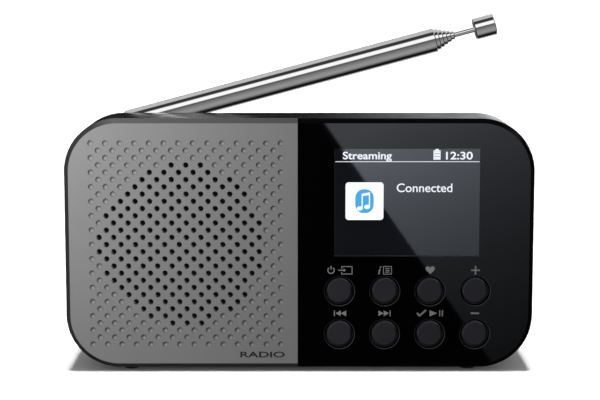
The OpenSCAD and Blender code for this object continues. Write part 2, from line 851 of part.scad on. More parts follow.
// Tube i of the mast, counted from 0, outermost first, with a rolled mouth
module mast_tube(i) {
  outer = tube_r - i * step_r;
  inner = tube_r - (i + 1) * step_r + slide_gap;
  start = i == 0 ? collar_at[1] + 0.02 : inner_start + step_l * (i - 1);
  end = tube_end + i * step_l;
  color([0.85, 0.85, 0.87]) on_antenna() rotate_extrude() polygon([
    [inner, start], [outer, start], [outer, end - 0.25], [outer - 0.18, end], [inner, end]
  ]);
}

module antenna_section_1() { mast_tube(0); }
module antenna_section_2() { mast_tube(1); }
module antenna_section_3() { mast_tube(2); }
module antenna_section_4() { mast_tube(3); }
module antenna_section_5() { mast_tube(4); }
module antenna_section_6() { mast_tube(5); }
module antenna_section_7() {
  start = inner_start + step_l * (steps - 1);
  color([0.85, 0.85, 0.87]) on_antenna(start)
    cylinder(h = rod_end - start + 0.02, r = tube_r - steps * step_r);
}

module antenna_tip() {
  color([0.85, 0.85, 0.87]) difference() {
    on_antenna(rod_end + 0.02) rotate_extrude() polygon([
      [0, 0], [tip_r - 0.3, 0], [tip_r, 0.3], [tip_r, tip_l - 0.3], [tip_r - 0.3, tip_l], [0, tip_l]
    ]);
    // slot where the tip is crimped to the rod
    on_antenna(rod_end - eps) rotate([0, 0, tip_slot_turn]) translate([tip_r - 0.5, -0.15, 0])
      cube([1, 0.3, 4.6 + eps]);
  }
}

grille_panel();
window_panel();
display_lens();
front_cabinet();
rear_cabinet();
battery_door();
rubber_feet();
case_screws();
grille_cloth();
speaker_gasket();
speaker_frame();
speaker_cone();
speaker_surround();
speaker_dust_cap();
speaker_magnet();
speaker_yoke();
speaker_screws();
display_module();
display_ribbon();
button_board();
switch_domes();
button_power();
button_info();
button_favourite();
button_plus();
button_previous();
button_next();
button_play();
button_minus();
main_board();
tuner_module();
board_chips();
board_capacitors();
board_screws();
usb_socket();
headphone_jack();
battery_cell_1();
battery_cell_2();
battery_cell_3();
battery_cell_4();
battery_springs();
battery_contacts();
antenna_base();
antenna_pin();
antenna_nut();
antenna_knuckle();
antenna_section_1();
antenna_section_2();
antenna_section_3();
antenna_section_4();
antenna_section_5();
antenna_section_6();
antenna_section_7();
antenna_tip();
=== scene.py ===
"""Looks for the tabletop radio: finishes for every CAD node, the printed symbols, the lit display's
picture, and a white studio. Metres, in the CAD model's frame: +X right, +Y back, +Z up."""
import math

import bmesh
import bpy
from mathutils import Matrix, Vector


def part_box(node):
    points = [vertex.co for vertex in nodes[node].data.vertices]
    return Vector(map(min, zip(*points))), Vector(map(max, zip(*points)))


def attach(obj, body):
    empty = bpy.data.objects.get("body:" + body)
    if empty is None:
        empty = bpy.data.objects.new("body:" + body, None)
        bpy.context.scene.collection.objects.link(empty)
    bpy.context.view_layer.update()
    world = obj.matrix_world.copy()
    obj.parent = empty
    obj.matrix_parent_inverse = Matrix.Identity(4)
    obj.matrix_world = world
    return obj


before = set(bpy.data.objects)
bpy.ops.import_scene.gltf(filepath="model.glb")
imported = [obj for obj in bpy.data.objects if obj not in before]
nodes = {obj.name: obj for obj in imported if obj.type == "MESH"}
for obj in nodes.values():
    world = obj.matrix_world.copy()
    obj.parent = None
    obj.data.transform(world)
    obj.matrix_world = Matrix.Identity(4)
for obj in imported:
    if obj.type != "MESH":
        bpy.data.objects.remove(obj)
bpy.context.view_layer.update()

MM = 0.001

# ---- places, from the CAD frame ----

grille_low, grille_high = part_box("grille_panel")
window_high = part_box("window_panel")[1]
lens_low, lens_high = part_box("display_lens")
glass_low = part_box("display_module")[0]
FACE_Y = grille_low.y
UNDER_Z = grille_low.z
TOP_Z = grille_high.z
HALF_W = window_high.x
SEAM_X = grille_high.x
SCREEN_X = (lens_low.x + lens_high.x) / 2
BEVEL = 1.5 * MM                       # the front panels' slanted edge, as in the CAD model
CORNER = 17.65 * MM                    # the outline's corner radius, as in the CAD model
INK = 0.02 * MM                        # thickness of printed ink
CASE_NODES = [name for name in nodes if not name.startswith("antenna_")]


def button_centre(name):
    low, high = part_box("button_" + name)
    return (low + high) / 2


# ---- material helpers ----

def add_node(tree, kind, **values):
    made = tree.nodes.new(kind)
    for key, value in values.items():
        setattr(made, key, value)
    return made


def split_off(tree, vector, index):
    """One coordinate of a vector."""
    split = add_node(tree, "ShaderNodeSeparateXYZ")
    tree.links.new(vector, split.inputs[0])
    return split.outputs[index]


def map_range(tree, value, start, end, low, high):
    """Carries value from start...end to low...high and holds it there past the ends."""
    made = add_node(tree, "ShaderNodeMapRange")
    tree.links.new(value, made.inputs["Value"])
    for socket, number in zip(("From Min", "From Max", "To Min", "To Max"), (start, end, low, high)):
        made.inputs[socket].default_value = number
    return made.outputs[0]


class Shader:
    """A Principled material and short calls that add procedural detail to it."""

    def __init__(self, name, colour, roughness, metallic=0.0, ior=1.5, **sockets):
        self.material = bpy.data.materials.new(name)
        self.material.use_nodes = True
        self.tree = self.material.node_tree
        self.out = self.tree.nodes["Principled BSDF"]
        self.out.inputs["Base Color"].default_value = (*colour, 1)
        self.out.inputs["Roughness"].default_value = roughness
        self.out.inputs["Metallic"].default_value = metallic
        self.out.inputs["IOR"].default_value = ior
        for socket, value in sockets.items():
            self.out.inputs[socket.replace("_", " ")].default_value = value
        self.colour = colour
        self.place = self.node("ShaderNodeTexCoord").outputs["Object"]
        self.bump_in = None

    def node(self, kind, **values):
        return add_node(self.tree, kind, **values)

    def link(self, source, target):
        self.tree.links.new(source, target)

    def math(self, operation, a, b=0.0, c=0.0):
        made = self.node("ShaderNodeMath", operation=operation)
        for socket, value in zip(made.inputs, (a, b, c)):
            if isinstance(value, (int, float)):
                socket.default_value = value
            else:
                self.link(value, socket)
        return made.outputs[0]

    def axis(self, index):
        """One coordinate of the place on the object: 0 is X, 1 is Y and 2 is Z."""
        return split_off(self.tree, self.place, index)

    def facing(self, index):
        """One coordinate of the surface's own direction."""
        return split_off(self.tree, self.node("ShaderNodeNewGeometry").outputs["True Normal"], index)

    def stretched(self, scale):
        """The object's coordinates, stretched by (x, y, z)."""
        mapping = self.node("ShaderNodeMapping")
        mapping.inputs["Scale"].default_value = scale
        self.link(self.place, mapping.inputs["Vector"])
        return mapping.outputs[0]

    def noise(self, size, detail=2.0, stretch=(1, 1, 1)):
        """Noise from 0 to 1 whose lumps are about size metres."""
        made = self.node("ShaderNodeTexNoise")
        made.inputs["Scale"].default_value = 1 / size
        made.inputs["Detail"].default_value = detail
        self.link(self.stretched(stretch), made.inputs["Vector"])
        return made.outputs["Fac"]

    def span(self, value, low, high, start=0.0, end=1.0):
        """low where value is start, and high where it is end."""
        return map_range(self.tree, value, start, end, low, high)

    def between(self, value, start, end):
        """0 up to start and 1 past end; start may be the larger."""
        return self.span(value, 0.0, 1.0, start, end)

    def mix(self, factor, a, b):
        """Colour a where factor is 0 and b where it is 1."""
        made = self.node("ShaderNodeMix", data_type="RGBA")
        self.link(factor, made.inputs["Factor"])
        for socket, value in ((made.inputs[6], a), (made.inputs[7], b)):
            if isinstance(value, tuple):
                socket.default_value = (*value, 1)
            else:
                self.link(value, socket)
        return made.outputs[2]

    def tone(self, factor, dark, light):
        """Colours the surface from dark to light times its own colour, by factor."""
        shades = [tuple(c * k for c in self.colour) for k in (dark, light)]
        self.paint(self.mix(factor, *shades))
        return self

    def paint(self, colour):
        self.link(colour, self.out.inputs["Base Color"])
        return self

    def rough(self, factor, low, high):
        """Roughness from low to high, over the middle of a noise's range."""
        self.link(self.span(factor, low, high, 0.3, 0.7), self.out.inputs["Roughness"])
        return self

    def bump(self, height, depth, strength=1.0):
        made = self.node("ShaderNodeBump")
        made.inputs["Distance"].default_value = depth
        made.inputs["Strength"].default_value = strength
        self.link(height, made.inputs["Height"])
        if self.bump_in:
            self.link(self.bump_in, made.inputs["Normal"])
        self.bump_in = made.outputs[0]
        self.link(self.bump_in, self.out.inputs["Normal"])
        return self


def outline_distance(s):
    """How far outside the case's rounded outline a point is, in a front view: negative within it."""
    mid_z, half_h = (TOP_Z + UNDER_Z) / 2, (TOP_Z - UNDER_Z) / 2
    reach = []
    for value, middle, half in ((s.axis(0), 0, HALF_W), (s.axis(2), mid_z, half_h)):
        offset = s.math("ABSOLUTE", s.math("SUBTRACT", value, middle))
        reach.append(s.math("MAXIMUM", s.math("SUBTRACT", offset, half - CORNER), 0))
    squares = s.math("ADD", s.math("POWER", reach[0], 2), s.math("POWER", reach[1], 2))
    return s.math("SUBTRACT", s.math("SQRT", squares), CORNER)


def finish_with(shader, *names):
    """Gives CAD nodes this shader's material."""
    for name in names:
        piece = nodes[name]
        for slot in piece.material_slots:
            slot.material = shader.material
        if not piece.material_slots:
            piece.data.materials.append(shader.material)


# ---- finishes ----

def silver_paint():
    """Satin silver paint on black plastic. The bevel is painted darker, a painted shade, most of all at its
    side.
    The dimples' slopes carry painted shade, darkest at their upper left. The walls of the holes are
    unpainted black plastic, painted near black and without reflection as painted shade."""
    s = Shader("silver_paint", (0.36, 0.36, 0.365), 0.45)
    flakes = s.noise(0.12 * MM, 3)
    clouds = s.noise(14 * MM, 2)
    face = s.mix(flakes, (0.335, 0.335, 0.338), (0.385, 0.385, 0.392))
    face = s.mix(s.span(clouds, 0.0, 0.25, 0.3, 0.7), face, (0.33, 0.33, 0.335))
    bevel = s.between(outline_distance(s), -BEVEL, -BEVEL + 0.03 * MM)
    within = s.math("SUBTRACT", 1, bevel)
    frontward = s.math("ABSOLUTE", s.facing(1))
    wall = s.between(frontward, 0.6, 0.4)
    # Painted shade: the bevel gets a darker colour than the face, and a darker one still at the left and
    # right sides.
    sideways = s.between(s.math("ABSOLUTE", s.facing(0)), 0.05, 0.35)
    edge = s.mix(sideways, (0.13, 0.13, 0.132), (0.03, 0.03, 0.031))
    shaded_wall_colour = s.mix(bevel, (0.004, 0.004, 0.004), edge)
    colour = s.mix(bevel, face, edge)
    # Painted shade: the dimples' walls are painted darker, darkest on the walls that face down and to the
    # right, away from the light on the upper left.
    slope = s.math("SUBTRACT", s.math("MULTIPLY", s.facing(0), 0.7), s.math("MULTIPLY", s.facing(2), 0.7))
    rim = s.math("MULTIPLY", s.between(frontward, 0.94, 0.7), within)
    shade = s.mix(s.between(slope, -0.35, 0.35), (0.21, 0.21, 0.212), (0.12, 0.12, 0.122))
    colour = s.mix(rim, colour, shade)
    # Painted shade: the walls of the holes are unpainted black plastic, painted near black and made metallic
    # over that black so that they reflect no light.
    s.paint(s.mix(wall, colour, shaded_wall_colour))
    bare_shaded_wall = s.math("MULTIPLY", wall, within)
    s.link(s.span(bare_shaded_wall, 0.1, 1.0), s.out.inputs["Metallic"])
    s.rough(flakes, 0.38, 0.48)
    s.bump(s.noise(0.35 * MM, 3), 0.02 * MM, 0.5)
    return s


def gloss_black(name, ior, roughness=0.02, chamfers=False):
    """Polished black plastic with faint wipe marks and a trace of moulding ripple. The chamfers round
    its openings can be matt black, metallic over black so that they reflect nothing, a painted shade, with a
    thin greyer band at the face that is a painted highlight."""
    s = Shader(name, (0.0012, 0.0012, 0.0013), roughness, ior=ior)
    wipes = s.noise(6 * MM, 4, stretch=(1, 1, 0.3))
    s.tone(wipes, 0.7, 1.3)
    s.rough(wipes, roughness * 0.7, roughness * 1.6)
    s.bump(s.noise(30 * MM, 1), 0.01 * MM, 0.3)
    if chamfers:
        # Painted light and shade on the chamfers round the openings: a thin grey band at the face is a
        # painted highlight, and the rest reflects nothing, a painted shade.
        slanted = s.between(s.math("ABSOLUTE", s.facing(1)), 0.95, 0.85)
        inner = s.between(outline_distance(s), -BEVEL - 0.5 * MM, -BEVEL - 0.6 * MM)
        rim = s.math("MULTIPLY", slanted, inner)
        painted_lit_ring = s.math("MULTIPLY", rim, s.between(s.axis(1), FACE_Y + 0.24 * MM, FACE_Y + 0.16 * MM))
        face = s.mix(wipes, (0.0009, 0.0009, 0.001), (0.0015, 0.0015, 0.0016))
        s.paint(s.mix(painted_lit_ring, face, (0.06, 0.06, 0.064)))
        s.link(s.span(rim, roughness, 0.8), s.out.inputs["Roughness"])
        s.link(s.math("SUBTRACT", rim, painted_lit_ring), s.out.inputs["Metallic"])
    return s


def moulded(name, colour, roughness=0.55, grain=0.35 * MM, depth=0.03 * MM):
    """Textured moulded plastic or rubber."""
    s = Shader(name, colour, roughness)
    fine = s.noise(grain, 4)
    s.tone(s.noise(9 * MM, 3), 0.8, 1.2)
    s.rough(fine, roughness - 0.08, roughness + 0.1)
    s.bump(fine, depth, 0.7)
    return s


def chrome():
    """Polished plating with faint draw lines along the tube."""
    s = Shader("chrome", (0.86, 0.86, 0.87), 0.05, metallic=1.0)
    lines = s.noise(0.3 * MM, 2, stretch=(0.02, 1, 0.3))
    s.tone(s.noise(4 * MM, 3), 0.96, 1.02)
    s.rough(lines, 0.035, 0.075)
    s.bump(lines, 0.0015 * MM, 0.4)
    return s


def plated(name, colour, roughness=0.3, stretch=(1, 1, 1)):
    """Plain plated or brushed metal."""
    s = Shader(name, colour, roughness, metallic=1.0)
    grain = s.noise(0.25 * MM, 3, stretch=stretch)
    s.tone(s.noise(3 * MM, 2), 0.85, 1.1)
    s.rough(grain, roughness - 0.08, roughness + 0.14)
    s.bump(grain, 0.006 * MM, 0.5)
    return s


def woven_cloth():
    """Fine black speaker mesh: two crossed sets of threads."""
    s = Shader("speaker_mesh", (0.006, 0.006, 0.006), 0.9)
    heights = []
    for axis in (0, 2):
        turns = s.math("MULTIPLY", s.axis(axis), 2 * math.pi / (0.35 * MM))
        heights.append(s.math("ABSOLUTE", s.math("SINE", turns)))
    weave = s.math("MAXIMUM", *heights)
    s.tone(weave, 0.4, 1.2)
    s.bump(weave, 0.08 * MM)
    return s


def paper(name, colour):
    s = Shader(name, colour, 0.85)
    fibres = s.noise(0.5 * MM, 6, stretch=(1, 1, 0.4))
    s.tone(fibres, 0.7, 1.4)
    s.bump(fibres, 0.04 * MM)
    return s


def circuit_board():
    """Green solder mask over darker and lighter copper runs."""
    s = Shader("circuit_board", (0.01, 0.09, 0.035), 0.3)
    runs = []
    for axis, pitch in ((0, 3.1 * MM), (2, 2.3 * MM)):
        turns = s.math("MULTIPLY", s.axis(axis), 2 * math.pi / pitch)
        runs.append(s.math("GREATER_THAN", s.math("SINE", turns), 0.8))
    copper = s.math("MULTIPLY", s.math("MAXIMUM", *runs), s.between(s.noise(7 * MM, 1), 0.48, 0.52))
    s.paint(s.mix(copper, (0.008, 0.07, 0.028), (0.02, 0.15, 0.055)))
    s.rough(s.noise(1 * MM, 2), 0.25, 0.4)
    s.bump(copper, 0.03 * MM)
    return s


def cell_sleeve(low, high, plus_right):
    """A battery's printed sleeve: dark blue with a copper band at the plus end, and bare steel ends."""
    s = Shader("cell_sleeve_" + ("right" if plus_right else "left"), (0.01, 0.05, 0.12), 0.3, metallic=0.6)
    x = s.axis(0)
    band = 11 * MM
    if plus_right:
        copper = s.between(x, high - band, high - band + 0.1 * MM)
        steel = s.between(x, high - 1.4 * MM, high - 1.3 * MM)
    else:
        copper = s.math("SUBTRACT", 1.0, s.between(x, low + band, low + band + 0.1 * MM))
        steel = s.math("SUBTRACT", 1.0, s.between(x, low + 1.3 * MM, low + 1.4 * MM))
    wear = s.noise(2 * MM, 4)
    blue = s.mix(wear, (0.008, 0.04, 0.1), (0.014, 0.065, 0.15))
    colour = s.mix(copper, blue, (0.45, 0.2, 0.07))
    s.paint(s.mix(steel, colour, (0.55, 0.55, 0.55)))
    s.rough(wear, 0.22, 0.38)
    s.bump(s.noise(0.4 * MM, 2), 0.004 * MM)
    return s


def lens():
    """Clear coated window over the display, with the faintest smoke tint. The glass behind it does the
    mirroring, so that its picture of the room is single."""
    s = Shader("clear_window", (0.93, 0.94, 0.95), 0.0, ior=1.01, Transmission_Weight=1.0)
    s.tone(s.noise(20 * MM, 2), 0.98, 1.0)
    return s


def lit(name, colour, strength):
    """A lit part of the display's picture. Fine rows of dots vary its brightness."""
    s = Shader(name, (0.01, 0.01, 0.01), 0.3)
    dots = s.math("ABSOLUTE", s.math("SINE", s.math("MULTIPLY", s.axis(2), math.pi / (0.15 * MM))))
    shade = s.span(dots, 0.9, 1.0)
    s.link(s.mix(shade, (0, 0, 0), colour), s.out.inputs["Emission Color"])
    s.out.inputs["Emission Strength"].default_value = strength
    return s


def display_glass():
    """Dark display glass: its backlight leaks a little, with an uneven tint."""
    s = Shader("display_glass", (0.002, 0.002, 0.003), 0.02, ior=2.2)
    leak = s.noise(18 * MM, 2)
    s.link(s.mix(leak, (0.6, 0.75, 1.0), (0.9, 1.0, 1.1)), s.out.inputs["Emission Color"])
    s.out.inputs["Emission Strength"].default_value = 0.007
    s.rough(leak, 0.015, 0.025)
    return s


def ink(name, colour):
    """Screen-printed ink, a little uneven."""
    s = Shader(name, colour, 0.5)
    s.tone(s.noise(0.4 * MM, 3), 0.88, 1.06)
    s.bump(s.noise(0.1 * MM, 2), 0.004 * MM)
    return s


def dress_frame():
    """Every CAD node gets its finish. The bright plating doesn't mirror the case below it."""
    for name in CASE_NODES:
        nodes[name].visible_glossy = False
    finish_with(silver_paint(), "grille_panel")
    finish_with(gloss_black("window_black", 1.58, chamfers=True), "window_panel")
    finish_with(gloss_black("case_black", 1.5, 0.16), "front_cabinet")
    finish_with(lens(), "display_lens")
    finish_with(display_glass(), "display_module")
    finish_with(moulded("rear_black", (0.02, 0.02, 0.0205)), "rear_cabinet", "battery_door")
    buttons = [name for name in nodes if name.startswith("button_") and name != "button_board"]
    caps = moulded("button_black", (0.047, 0.047, 0.056), 0.6, 0.2 * MM, 0.008 * MM)
    caps.out.inputs["Specular IOR Level"].default_value = 0.12
    finish_with(caps, *buttons)
    finish_with(moulded("foot_rubber", (0.02, 0.02, 0.02), 0.8, 0.2 * MM), "rubber_feet")
    finish_with(moulded("foam", (0.03, 0.03, 0.03), 0.95, 0.4 * MM, 0.2 * MM), "speaker_gasket")
    finish_with(moulded("surround_rubber", (0.02, 0.02, 0.02), 0.6, 0.3 * MM), "speaker_surround")
    resin = moulded("resin_black", (0.015, 0.015, 0.015), 0.5, 0.1 * MM)
    finish_with(resin, "board_chips", "headphone_jack")
    finish_with(moulded("ferrite", (0.05, 0.05, 0.053), 0.6, 0.15 * MM), "speaker_magnet")
    finish_with(moulded("stoved_black", (0.02, 0.02, 0.02), 0.4, 0.5 * MM), "speaker_frame")
    finish_with(moulded("ribbon_film", (0.35, 0.14, 0.025), 0.3, 1 * MM, 0.005 * MM), "display_ribbon")
    sleeve = moulded("capacitor_sleeve", (0.02, 0.03, 0.07), 0.35, 0.3 * MM, 0.004 * MM)
    finish_with(sleeve, "board_capacitors")
    finish_with(woven_cloth(), "grille_cloth")
    finish_with(paper("cone_paper", (0.012, 0.012, 0.012)), "speaker_cone", "speaker_dust_cap")
    finish_with(circuit_board(), "main_board", "button_board")
    finish_with(plated("zinc", (0.25, 0.25, 0.235), 0.5), "speaker_yoke")
    steel = plated("screw_steel", (0.4, 0.4, 0.41), 0.35)
    finish_with(steel, "case_screws", "speaker_screws", "board_screws")
    nickel = plated("nickel", (0.65, 0.63, 0.58), 0.22)
    finish_with(nickel, "battery_springs", "battery_contacts", "switch_domes")
    finish_with(plated("tin", (0.6, 0.6, 0.6), 0.35, (1, 1, 0.1)), "tuner_module", "usb_socket")
    finish_with(plated("brass", (0.65, 0.45, 0.2), 0.3), "antenna_nut")
    mast = [name for name in nodes if name.startswith("antenna_") and name != "antenna_nut"]
    finish_with(chrome(), *mast)
    for number in range(1, 5):
        name = f"battery_cell_{number}"
        low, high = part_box(name)
        finish_with(cell_sleeve(low.x, high.x, number % 2 == 1), name)


# ---- flat shapes, as outlines in (x, z) metres round their own centre ----

def box_outline(width, height, x=0.0, z=0.0):
    return [(x - width / 2, z - height / 2), (x + width / 2, z - height / 2),
            (x + width / 2, z + height / 2), (x - width / 2, z + height / 2)]


def round_box(width, height, radius, steps=8):
    points = []
    for turn, (sx, sz) in enumerate(((1, 1), (-1, 1), (-1, -1), (1, -1))):
        for step in range(steps + 1):
            angle = math.radians(90 * (turn + step / steps))
            points.append((sx * (width / 2 - radius) + radius * math.cos(angle),
                           sz * (height / 2 - radius) + radius * math.sin(angle)))
    return points


def arc_band(radius, width, start, end, steps=40):
    """A curved stroke from start to end degrees."""
    angles = [math.radians(start + (end - start) * step / steps) for step in range(steps + 1)]
    outer = [((radius + width / 2) * math.cos(a), (radius + width / 2) * math.sin(a)) for a in angles]
    inner = [((radius - width / 2) * math.cos(a), (radius - width / 2) * math.sin(a)) for a in angles]
    return outer + inner[::-1]


def stroke(points, width):
    """A mitred stroke of even width along open points."""
    path = [Vector(p) for p in points]
    sides = []
    for i, point in enumerate(path):
        before = (path[i] - path[i - 1]).normalized() if i else (path[1] - path[0]).normalized()
        after = (path[i + 1] - path[i]).normalized() if i + 1 < len(path) else before
        across = Vector((-(before + after).y, (before + after).x)).normalized()
        length = width / 2 / max(0.3, across.dot(Vector((-after.y, after.x))))
        sides.append((point + across * length, point - across * length))
    return [tuple(a) for a, b in sides] + [tuple(b) for a, b in reversed(sides)]


def shifted(outline, x, z=0.0):
    return [(px + x, pz + z) for px, pz in outline]


def triangle(width, height, direction):
    tip = direction * width / 2
    return [(-tip, -height / 2), (tip, 0), (-tip, height / 2)]


def frame_outlines(width, height, line):
    """A rectangle drawn with a line: four bars that meet without overlap."""
    side_x, side_z = (width - line) / 2, (height - line) / 2
    return [box_outline(width, line, 0, side_z), box_outline(width, line, 0, -side_z),
            box_outline(line, height - 2 * line, side_x), box_outline(line, height - 2 * line, -side_x)]


def heart(width, steps=48):
    points = []
    for step in range(steps):
        t = 2 * math.pi * step / steps
        x = 16 * math.sin(t) ** 3
        z = 13 * math.cos(t) - 5 * math.cos(2 * t) - 2 * math.cos(3 * t) - math.cos(4 * t)
        points.append((x * width / 32, (z + 2) * width / 32))
    return points


# ---- pieces ----

def add_piece(name, mesh, material, body):
    piece = bpy.data.objects.new(name, mesh)
    bpy.context.scene.collection.objects.link(piece)
    mesh.materials.clear()
    mesh.materials.append(material)
    piece.visible_glossy = False
    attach(piece, body)
    return piece


def flat_piece(name, outlines, x, z, y, thickness, shader, body):
    """Raised flat shapes on a plane that faces the front: y is their front."""
    mesh = bpy.data.meshes.new(name)
    work = bmesh.new()
    for outline in outlines:
        back, front = [[work.verts.new((x + px, depth, z + pz)) for px, pz in outline]
                       for depth in (y + thickness, y)]
        work.faces.new(back)
        work.faces.new(front)
        for i in range(len(outline)):
            work.faces.new((back[i - 1], back[i], front[i], front[i - 1]))
    bmesh.ops.recalc_face_normals(work, faces=work.faces)
    work.to_mesh(mesh)
    work.free()
    return add_piece(name, mesh, shader.material, body)


def lettering(name, words, left, right, base, top, y, thickness, shader, body, weight=0.0):
    """Words in Blender's own font as a mesh that fills the given box, its front at y."""
    curve = bpy.data.curves.new(name, "FONT")
    curve.body = words
    curve.extrude = 0.5
    curve.offset = weight
    curve.resolution_u = 6
    source = bpy.data.objects.new(name + "_source", curve)
    bpy.context.scene.collection.objects.link(source)
    bpy.context.view_layer.update()
    mesh = bpy.data.meshes.new_from_object(source.evaluated_get(bpy.context.evaluated_depsgraph_get()))
    bpy.data.objects.remove(source)
    bpy.data.curves.remove(curve)
    mesh.name = name
    xs = [v.co.x for v in mesh.vertices]
    zs = [v.co.y for v in mesh.vertices]
    wide = (right - left) / (max(xs) - min(xs))
    tall = (top - base) / (max(zs) - min(zs))
    for v in mesh.vertices:
        across, up, out = v.co
        v.co = (left + (across - min(xs)) * wide, y + thickness * (0.5 - out), base + (up - min(zs)) * tall)
    work = bmesh.new()
    work.from_mesh(mesh)
    bmesh.ops.remove_doubles(work, verts=work.verts, dist=1e-7)
    bmesh.ops.recalc_face_normals(work, faces=work.faces)
    work.to_mesh(mesh)
    work.free()
    return add_piece(name, mesh, shader.material, body)


# ---- printed symbols over the buttons ----

SYMBOL_UP = 7.0 * MM                   # from a button's centre to its symbol's centre
LINE = 0.31 * MM


def power_symbol():
    return [arc_band(1.05 * MM, LINE, -230, 50), box_outline(LINE, 1.3 * MM, 0, 0.85 * MM)]


def source_symbol():
    """An arrow that enters a box."""
    left, right, top, gap = -1.15 * MM, 2.3 * MM, 1.25 * MM, 0.55 * MM
    path = [(left, gap), (left, top), (right, top), (right, -top), (left, -top), (left, -gap)]
    box = [stroke(path, 0.24 * MM)]
    arrow = [(-2.3 * MM, 0.14 * MM), (-0.5 * MM, 0.14 * MM), (-0.5 * MM, 0.5 * MM), (0.3 * MM, 0),
             (-0.5 * MM, -0.5 * MM), (-0.5 * MM, -0.14 * MM), (-2.3 * MM, -0.14 * MM)]
    return box + [arrow]


def list_symbol():
    rows = [box_outline(1.4 * MM, 0.24 * MM, 0, (1 - row) * 0.6 * MM) for row in range(3)]
    return frame_outlines(2.9 * MM, 2.8 * MM, 0.22 * MM) + rows


def info_symbol():
    """A leaning stroke under a dot."""
    stem = [(-0.5 * MM, -1.35 * MM), (-0.05 * MM, -1.35 * MM), (0.35 * MM, 0.5 * MM), (-0.1 * MM, 0.5 * MM)]
    dot = [(0.05 * MM, 0.85 * MM), (0.5 * MM, 0.85 * MM), (0.6 * MM, 1.35 * MM), (0.15 * MM, 1.35 * MM)]
    return [stem, dot]


def skip_symbol(direction):
    """Two triangles and a bar; direction is 1 to skip on and -1 to skip back."""
    arrow = triangle(1.75 * MM, 1.9 * MM, direction)
    arrows = [shifted(arrow, direction * offset * MM) for offset in (-1.25, 0.5)]
    return arrows + [box_outline(LINE, 1.9 * MM, direction * 1.75 * MM)]


def play_symbol():
    bars = [box_outline(LINE * 1.1, 2.0 * MM, x * MM) for x in (1.15, 2.05)]
    return [shifted(triangle(2.5 * MM, 2.1 * MM, 1), -0.95 * MM)] + bars


def tick_symbol():
    return [stroke([(-1.5 * MM, 0.1 * MM), (-0.6 * MM, -0.85 * MM), (1.5 * MM, 1.1 * MM)], 0.5 * MM)]


def plus_symbol():
    arm = 0.46 * MM
    return [box_outline(1.45 * MM - arm / 2, arm, side * (1.45 * MM + arm / 2) / 2) for side in (-1, 1)] + [
        box_outline(arm, 2.9 * MM)]


def print_symbols():
    """Each symbol: its name, the button it belongs to, its outlines and how far it sits from the column."""
    white = ink("symbol_ink", (0.46, 0.46, 0.465))
    symbols = (
        ("symbol_power", "power", power_symbol(), -2.8),
        ("symbol_source", "power", source_symbol(), 1.85),
        ("symbol_info", "info", info_symbol(), -1.75),
        ("symbol_list", "info", list_symbol(), 0.85),
        ("symbol_heart", "favourite", [heart(3.1 * MM)], 0.0),
        ("symbol_plus", "plus", plus_symbol(), 0.0),
        ("symbol_previous", "previous", skip_symbol(-1), 0.1),
        ("symbol_next", "next", skip_symbol(1), 0.1),
        ("symbol_tick", "play", tick_symbol(), -2.75),
        ("symbol_play", "play", play_symbol(), 2.15),
        ("symbol_minus", "minus", [box_outline(2.8 * MM, 0.5 * MM)], 0.0),
    )
    for name, button, outlines, offset in symbols:
        centre = button_centre(button)
        flat_piece(name, outlines, centre.x + offset * MM, centre.z + SYMBOL_UP, FACE_Y - INK, INK, white,
                   "case")


def print_legend():
    """A small plain word in the grille panel's lower corner."""
    dark = ink("legend_ink", (0.02, 0.02, 0.021))
    left, right = SEAM_X - 19.1 * MM, SEAM_X - 4.3 * MM
    base, top = UNDER_Z + 3.5 * MM, UNDER_Z + 5.5 * MM
    lettering("legend_radio", "RADIO", left, right, base, top, FACE_Y - INK, INK, dark,
              "case", weight=0.022)


# ---- the display's picture ----

EMBLEM = (21.5, 55.9)                  # the emblem's centre: x, and z above the underside, in mm


def draw_note(shape, shader):
    """Two joined quavers: round heads, upright stems and a slanted beam."""
    turns = [2 * math.pi * k / 24 for k in range(24)]
    head = [(0.95 * MM * math.cos(a), 0.7 * MM * math.sin(a)) for a in turns]
    heads = [shifted(head, -1.3 * MM, -2.2 * MM), shifted(head, 1.1 * MM, -1.7 * MM)]
    stems = [box_outline(0.34 * MM, 3.9 * MM, -0.52 * MM, -0.1 * MM),
             box_outline(0.34 * MM, 3.9 * MM, 1.88 * MM, 0.4 * MM)]
    beam_left, beam_right = -0.69 * MM, 2.05 * MM
    beam = [(beam_left, 1.85 * MM), (beam_right, 2.35 * MM), (beam_right, 3.15 * MM), (beam_left, 2.65 * MM)]
    note = [shifted(outline, -0.25 * MM, -0.2 * MM) for outline in heads + stems + [beam]]
    shape("picture_note", note, *EMBLEM, shader, 0.08 * MM)


